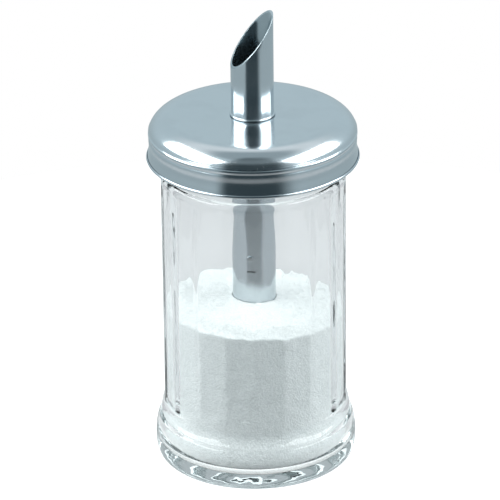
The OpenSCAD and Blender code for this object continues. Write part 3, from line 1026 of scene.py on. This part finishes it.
@dataclass
class PourTube:
    """The steel tube with its slanted mouth, its two rolled beads, the pin, the stop and the flap."""

    steel: Steel
    plain: Steel
    inside: Steel
    radius: float = 7.5
    wall: float = 0.6
    low_z: float = 52.0
    tip_z: float = 167.0
    slope: float = 52.0
    turn: float = 17.0
    lid_z: float = 129.5
    bead: float = 0.45
    pin_x: float = -1.5
    pin_z: float = 77.9
    pin_r: float = 0.6
    stop_x: tuple[float, float] = (-2.35, 0.75)
    stop_z: float = 72.1
    flap_r: float = 6.4
    flap_t: float = 0.6
    lean: float = 26.576

    def tube(self) -> Bench:
        """The tube, cut slantwise at its mouth.

        Returns:
            The bench with the tube.
        """
        r, w, b = self.radius, self.wall, self.bead
        line = [(r - w + 0.1, self.low_z), (r - 0.15, self.low_z), (r, self.low_z + 0.15)]
        line += rise(r, 60, r, 110, 6)
        for z in (121.3, self.lid_z + b + 0.05):
            line += rise(r, z - b - 3, r, z - b - 0.2, 2) + bow((r - 0.05, z), b + 0.05, b, -76, 76, 12)
            line += [(r, z + b + 0.2)]
        line += rise(r, self.lid_z + 4, r, self.tip_z + 3, 8) + rise(r - w, self.tip_z + 3, r - w, 60, 12)
        line += [(r - w, self.low_z + 0.1)]
        tube = Bench("steel_tube").turn(line, 192, closed=True)
        a, t = math.radians(self.slope), math.radians(self.turn)
        normal = Vector((-math.sin(a) * math.cos(t), -math.sin(a) * math.sin(t), math.cos(a)))
        tip = Vector((r * math.cos(t), r * math.sin(t), self.tip_z)) * MM
        tube.edit()
        bpy.ops.mesh.select_all(action="SELECT")
        bpy.ops.mesh.bisect(plane_co=tip, plane_no=normal, use_fill=True, clear_outer=True)
        tube.done()
        tube.soften(0.16, 2, 50)
        holes = Bench("pin_hole").rod(self.pin_r + 0.05, 4 * r, Vector((self.pin_x, 0, self.pin_z)) * MM,
                                      Vector((0, 1, 0)), 32)
        tube.cut(holes)
        slot = Bench("stop_slot").block((self.stop_x[0], -r - 1, self.stop_z + 0.5),
                                        (self.stop_x[1], -r + 2, self.stop_z + 1.0))
        tube.cut(slot)
        tongue = Bench("stop_tongue").block((self.stop_x[0], -r + w / 2, self.stop_z),
                                            (self.stop_x[1], -r + w + 2.5, self.stop_z + 0.5))
        tube.join([tongue.soften(0.12, 2)])
        return tube.polish(40)

    def line(self, tube: bpy.types.Object, lining: bpy.types.Material) -> None:
        """Gives the tube's inside, which isn't polished, its own finish."""
        tube.data.materials.append(lining)
        for face in tube.data.polygons:
            if math.hypot(face.center.x, face.center.y) < (self.radius - self.wall + 0.06) * MM:
                face.material_index = 1

    def pin(self) -> Bench:
        """The pin with its two domed heads.

        Returns:
            The bench with the pin.
        """
        r = self.radius
        at = Vector((self.pin_x, 0, self.pin_z)) * MM
        pin = Bench("flap_axle").rod(self.pin_r, 2 * r + 0.1, at, Vector((0, 1, 0)), 40)
        heads = []
        for s in (-1, 1):
            y = s * (r + 0.02 + 0.175)
            head = Bench("axle_head").rod(1.0, 0.35, at + Vector((0, y, 0)) * MM, Vector((0, 1, 0)), 40)
            heads.append(head.soften(0.16, 4, 40))
        return pin.soften(0.08, 2, 40).join(heads).polish(40)

    def flap(self) -> Bench:
        """The flap: a round plate with a rolled knuckle on the pin.

        Returns:
            The bench with the flap.
        """
        at = Vector((self.pin_x, 0, self.pin_z)) * MM
        swing = math.radians(self.lean)
        face = Vector((math.cos(swing), 0, math.sin(swing)))
        down = Vector((math.sin(swing), 0, -math.cos(swing)))
        plate = Bench("tube_flap").rod(self.flap_r, self.flap_t, at + down * 1.5 * MM, face, 96)
        plate.soften(0.12, 3, 40)
        bore_r = self.radius - self.wall
        length = 2 * (math.sqrt(bore_r ** 2 - (1.5 + self.pin_r + 0.5) ** 2) - 0.35)
        knuckle = Bench("knuckle").rod(self.pin_r + 0.5, length, at, Vector((0, 1, 0)), 48)
        knuckle.soften(0.12, 2, 40)
        plate.cut(knuckle, "UNION")
        bore = Bench("knuckle_bore").rod(self.pin_r + 0.05, 3 * self.radius, at, Vector((0, 1, 0)), 48)
        return plate.cut(bore).polish(35)

    def dress(self, dresser: Dresser) -> None:
        """Builds the tube, the pin and the flap, and dresses them."""
        tube = dresser.wear(self.tube(), self.steel, Body.LID, "pour_tube")
        self.line(tube, dresser.material(self.inside))
        dresser.wear(self.pin(), self.plain, Body.LID, "flap_pin")
        dresser.wear(self.flap(), self.plain, Body.FLAP, "flap")


# ---------------------------------------------------------------- the studio


@dataclass
class Camera:
    """The camera at the photograph's viewing angle."""

    distance: float = 1.483231
    elevation: float = 24.884
    roll: float = -0.629
    aim: Vector = field(default_factory=lambda: Vector((0.0, 0.0, 0.075)))
    focal_px: float = 4195.664
    frame_px: float = 500.0
    target_px: tuple[float, float] = (254.058, 255.971)

    def build(self) -> bpy.types.Object:
        """Makes the camera and sets it as the scene's.

        Returns:
            The camera.
        """
        data = bpy.data.cameras.new("camera")
        data.sensor_width = 36.0
        data.lens = self.focal_px * data.sensor_width / self.frame_px
        data.shift_x = (self.frame_px / 2 - self.target_px[0]) / self.frame_px
        data.shift_y = (self.target_px[1] - self.frame_px / 2) / self.frame_px
        data.clip_start, data.clip_end = 0.05, 30.0
        cam = bpy.data.objects.new("camera", data)
        bpy.context.scene.collection.objects.link(cam)
        e = math.radians(self.elevation)
        back = Vector((0, -math.cos(e), math.sin(e)))
        cam.location = self.aim + back * self.distance
        look = (-back).to_track_quat("-Z", "Y").to_matrix().to_4x4()
        cam.rotation_euler = (look @ Matrix.Rotation(math.radians(self.roll), 4, "Z")).to_euler()
        bpy.context.scene.camera = cam
        return cam


def front_of(n: Nodes, x: bpy.types.NodeSocket, y: bpy.types.NodeSocket) -> bpy.types.NodeSocket:
    """A mask for the dim end of the room, in front of the object and a little to its right."""
    side = n.math("ARCTAN2", x, n.math("MULTIPLY", y, -1.0))
    return n.math("MULTIPLY", n.span(side, math.radians(-42), math.radians(-28)),
                  n.span(side, math.radians(50), math.radians(24)))


def straight(n: Nodes, path: bpy.types.NodeOutputs) -> bpy.types.NodeSocket:
    """A mask for light paths that meet no mirror, apart from the inside of one glass wall.

    Args:
        n: The node builder.
        path: The outputs of a light path node.

    Returns:
        The mask.
    """
    unmirrored = n.math("LESS_THAN", path["Glossy Depth"], 0.5)
    glass = n.math("MULTIPLY", n.math("GREATER_THAN", path["Transmission Depth"], 0.5),
                   n.math("LESS_THAN", path["Transmission Depth"], 3.5))
    return n.math("MAXIMUM", unmirrored, glass)


@dataclass
class Studio:
    """White sweep, two tall soft boxes at the front and a soft light over the back."""

    floor_r: float = 0.26
    lamp_far: float = 1.1
    lamp_aim_z: float = 0.09
    paint: float = 0.46
    # painted shade: the floor's darker colour in front of the object, seen in reflections and by bounced
    # light
    painted_shade_ahead: float = 0.22
    floor_shine: float = 0.7
    # painted light under the foot: radius where it fades out, radius where it is full, and its strength
    under_foot_painted_light: tuple[float, float, float] = (0.07, 0.038, 0.66)
    dim: Colour = (0.045, 0.065, 0.075, 1)
    wall_low: Colour = (0.45, 0.53, 0.56, 1)
    wall_high: Colour = (0.60, 0.71, 0.76, 1)
    ceiling: Colour = (0.33, 0.40, 0.43, 1)
    top_light: Colour = (0.92, 0.97, 1.0, 1)
    view_down: float = 24.9

    def build(self) -> None:
        """Makes the floor, the lamps and the room."""
        self.floor()
        self.lamp("box_left", 83, 39, (1.35, 0.74), 14.5)
        self.lamp("box_right", -81, 39, (1.2, 0.7), 12.0)
        self.room()

    def floor(self) -> None:
        """The pale floor, which keeps the object's shadow for the camera and reads as white; through the
        glass it shows painted light under the foot, and in reflections painted shade in front.
        """
        bpy.ops.object.select_all(action="DESELECT")
        bpy.ops.mesh.primitive_circle_add(vertices=96, radius=self.floor_r, fill_type="NGON")
        floor = bpy.context.object
        floor.name = "floor"
        mat = bpy.data.materials.new("floor_paint")
        mat.use_nodes = True
        mat.node_tree.nodes.clear()
        n = Nodes(mat.node_tree)
        out = n.add("OutputMaterial")
        xyz = n.add("SeparateXYZ", {0: n.add("TexCoord").outputs["Object"]}).outputs
        path = n.add("LightPath").outputs
        plain = straight(n, path)
        mirrored = n.math("MAXIMUM", n.math("SUBTRACT", 1.0, plain), path["Is Diffuse Ray"])
        # Painted shade: in front of the object the floor is darker for reflections and bounced light.
        shade_ahead_mask = n.math("MULTIPLY", front_of(n, xyz[0], xyz[1]), mirrored)
        paint = n.add("BsdfDiffuse", {"Color": n.mix(shade_ahead_mask, grey(self.paint), grey(self.painted_shade_ahead))})
        squares = [n.math("MULTIPLY", xyz[i], xyz[i]) for i in (0, 1)]
        out_by = n.math("SQRT", n.math("ADD", *squares))
        beside = n.span(n.math("DIVIDE", xyz[1], n.math("ADD", out_by, 0.03)), -0.2, 0.75)
        through = n.math("MULTIPLY", path["Is Transmission Ray"], plain)
        # Painted light: seen through the glass, the floor glows under the foot and fills the object's shadow
        # there.
        far, near, strength = self.under_foot_painted_light
        shade = n.span(out_by, far, near, 0.0, strength)
        plain_glow = n.math("MULTIPLY_ADD", beside, 0.11, 0.06)
        through = n.math("MULTIPLY", through, n.math("ADD", plain_glow, shade))
        glow = n.math("MULTIPLY_ADD", path["Is Camera Ray"], self.floor_shine, through)
        glow = n.add("Emission", {"Color": (1.0, 1.0, 0.985, 1), "Strength": glow})
        both = n.add("AddShader", {0: paint.outputs[0], 1: glow.outputs[0]})
        n.tree.links.new(both.outputs[0], out.inputs["Surface"])
        floor.data.materials.append(mat)

    def lamp(self, name: str, side: float, up: float, size: Sequence[float], power: float) -> None:
        """Adds a soft box that faces the object.

        Args:
            name: Its name.
            side: Angle from the front to the left, in degrees.
            up: Angle over the floor.
            size: Width and height in metres.
            power: Its power in watts.
        """
        a, e = math.radians(side), math.radians(up)
        way = Vector((-math.sin(a) * math.cos(e), -math.cos(a) * math.cos(e), math.sin(e)))
        data = bpy.data.lights.new(name, "AREA")
        data.shape = "RECTANGLE"
        data.size, data.size_y = size
        data.energy = power
        lamp = bpy.data.objects.new(name, data)
        bpy.context.scene.collection.objects.link(lamp)
        lamp.location = way * self.lamp_far + Vector((0, 0, self.lamp_aim_z))
        lamp.rotation_euler = (-way).to_track_quat("-Z", "Y").to_euler()

    def room(self) -> None:
        """White behind the object; for reflections a grey-blue room with a dark end at the front."""
        world = bpy.data.worlds.new("room")
        bpy.context.scene.world = world
        world.use_nodes = True
        world.node_tree.nodes.clear()
        n = Nodes(world.node_tree)
        out = n.add("OutputWorld")
        way = n.add("TexCoord").outputs["Generated"]
        xyz = n.add("SeparateXYZ", {0: way}).outputs
        side = n.math("ABSOLUTE", n.math("ARCTAN2", xyz[0], n.math("MULTIPLY", xyz[1], -1.0)))
        front = front_of(n, xyz[0], xyz[1])
        up = n.math("ARCSINE", xyz[2])
        deg = math.radians
        wall = n.mix(n.span(up, deg(-20), deg(20)), self.wall_low, self.wall_high)
        glow = n.math("MULTIPLY", n.span(up, deg(36), deg(52)), n.span(up, deg(74), deg(62)))
        glow = n.math("MULTIPLY", glow, n.span(side, deg(70), deg(120)))
        wall = n.mix(glow, wall, self.top_light)
        wall = n.mix(n.math("MULTIPLY", n.span(up, deg(58), deg(72)), 0.8), wall, self.ceiling)
        gap = n.math("MULTIPLY", front, n.span(up, deg(54), deg(34), 0.72, 1.0))
        room = n.mix(n.math("MULTIPLY", gap, n.span(up, deg(86), deg(78))), wall, self.dim)
        path = n.add("LightPath").outputs
        e = math.radians(self.view_down)
        along = n.add("VectorMath", {0: way, 1: (0.0, math.cos(e), -math.sin(e))}, operation="DOT_PRODUCT")
        behind = n.span(along.outputs["Value"], 0.3, 0.85)
        backdrop = n.mix(behind, (0.50, 0.53, 0.54, 1), (0.62, 0.63, 0.655, 1))
        lit = n.math("GREATER_THAN", path["Diffuse Depth"], 0.5)
        low = n.span(up, deg(60), deg(20))
        sides = n.mix(front, (0.74, 0.76, 0.78, 1), (0.30, 0.33, 0.34, 1))
        around = n.mix(low, (0.34, 0.36, 0.37, 1), sides)
        seen = n.mix(n.math("MULTIPLY", path["Is Transmission Ray"], straight(n, path)), room,
                     n.mix(lit, backdrop, around))
        colour = n.mix(path["Is Camera Ray"], seen, (1, 1, 1, 1))
        sky = n.add("Background", {"Color": colour, "Strength": 1.0})
        n.tree.links.new(sky.outputs[0], out.inputs["Surface"])


def main() -> None:
    """Loads the solids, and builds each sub-assembly and the studio."""
    logging.basicConfig(level=logging.INFO, format="%(name)s: %(message)s")
    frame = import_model()
    LOG.info("%d solids in the frame", len(frame["nodes"]))
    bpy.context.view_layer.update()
    polished = Steel("polished_steel")
    drawn = Steel("drawn_steel", tint=(0.56, 0.60, 0.62), roughness=0.22, grain=0.12)
    lining = Steel("tube_lining", tint=(0.42, 0.49, 0.52), roughness=0.2, grain=0.15)
    white = Moulded("white_moulding")
    soft = Moulded("pale_rubber", colour=(0.72, 0.72, 0.69), roughness=0.6, texture=0.3)
    dresser = Dresser(Effects())
    for part in (GlassJar(ClearGlass("clear_glass")), SugarHeap(Sugar("white_sugar")),
                 Lid(polished, drawn, white, soft), PourTube(polished, drawn, lining)):
        part.dress(dresser)
    Camera().build()
    Studio().build()
    scene = bpy.context.scene
    scene.view_settings.view_transform = "Standard"
    scene.cycles.max_bounces = 20
    scene.cycles.transmission_bounces = 20
    scene.cycles.glossy_bounces = 10
    scene.cycles.transparent_max_bounces = 24


if __name__ == "__main__":
    main()
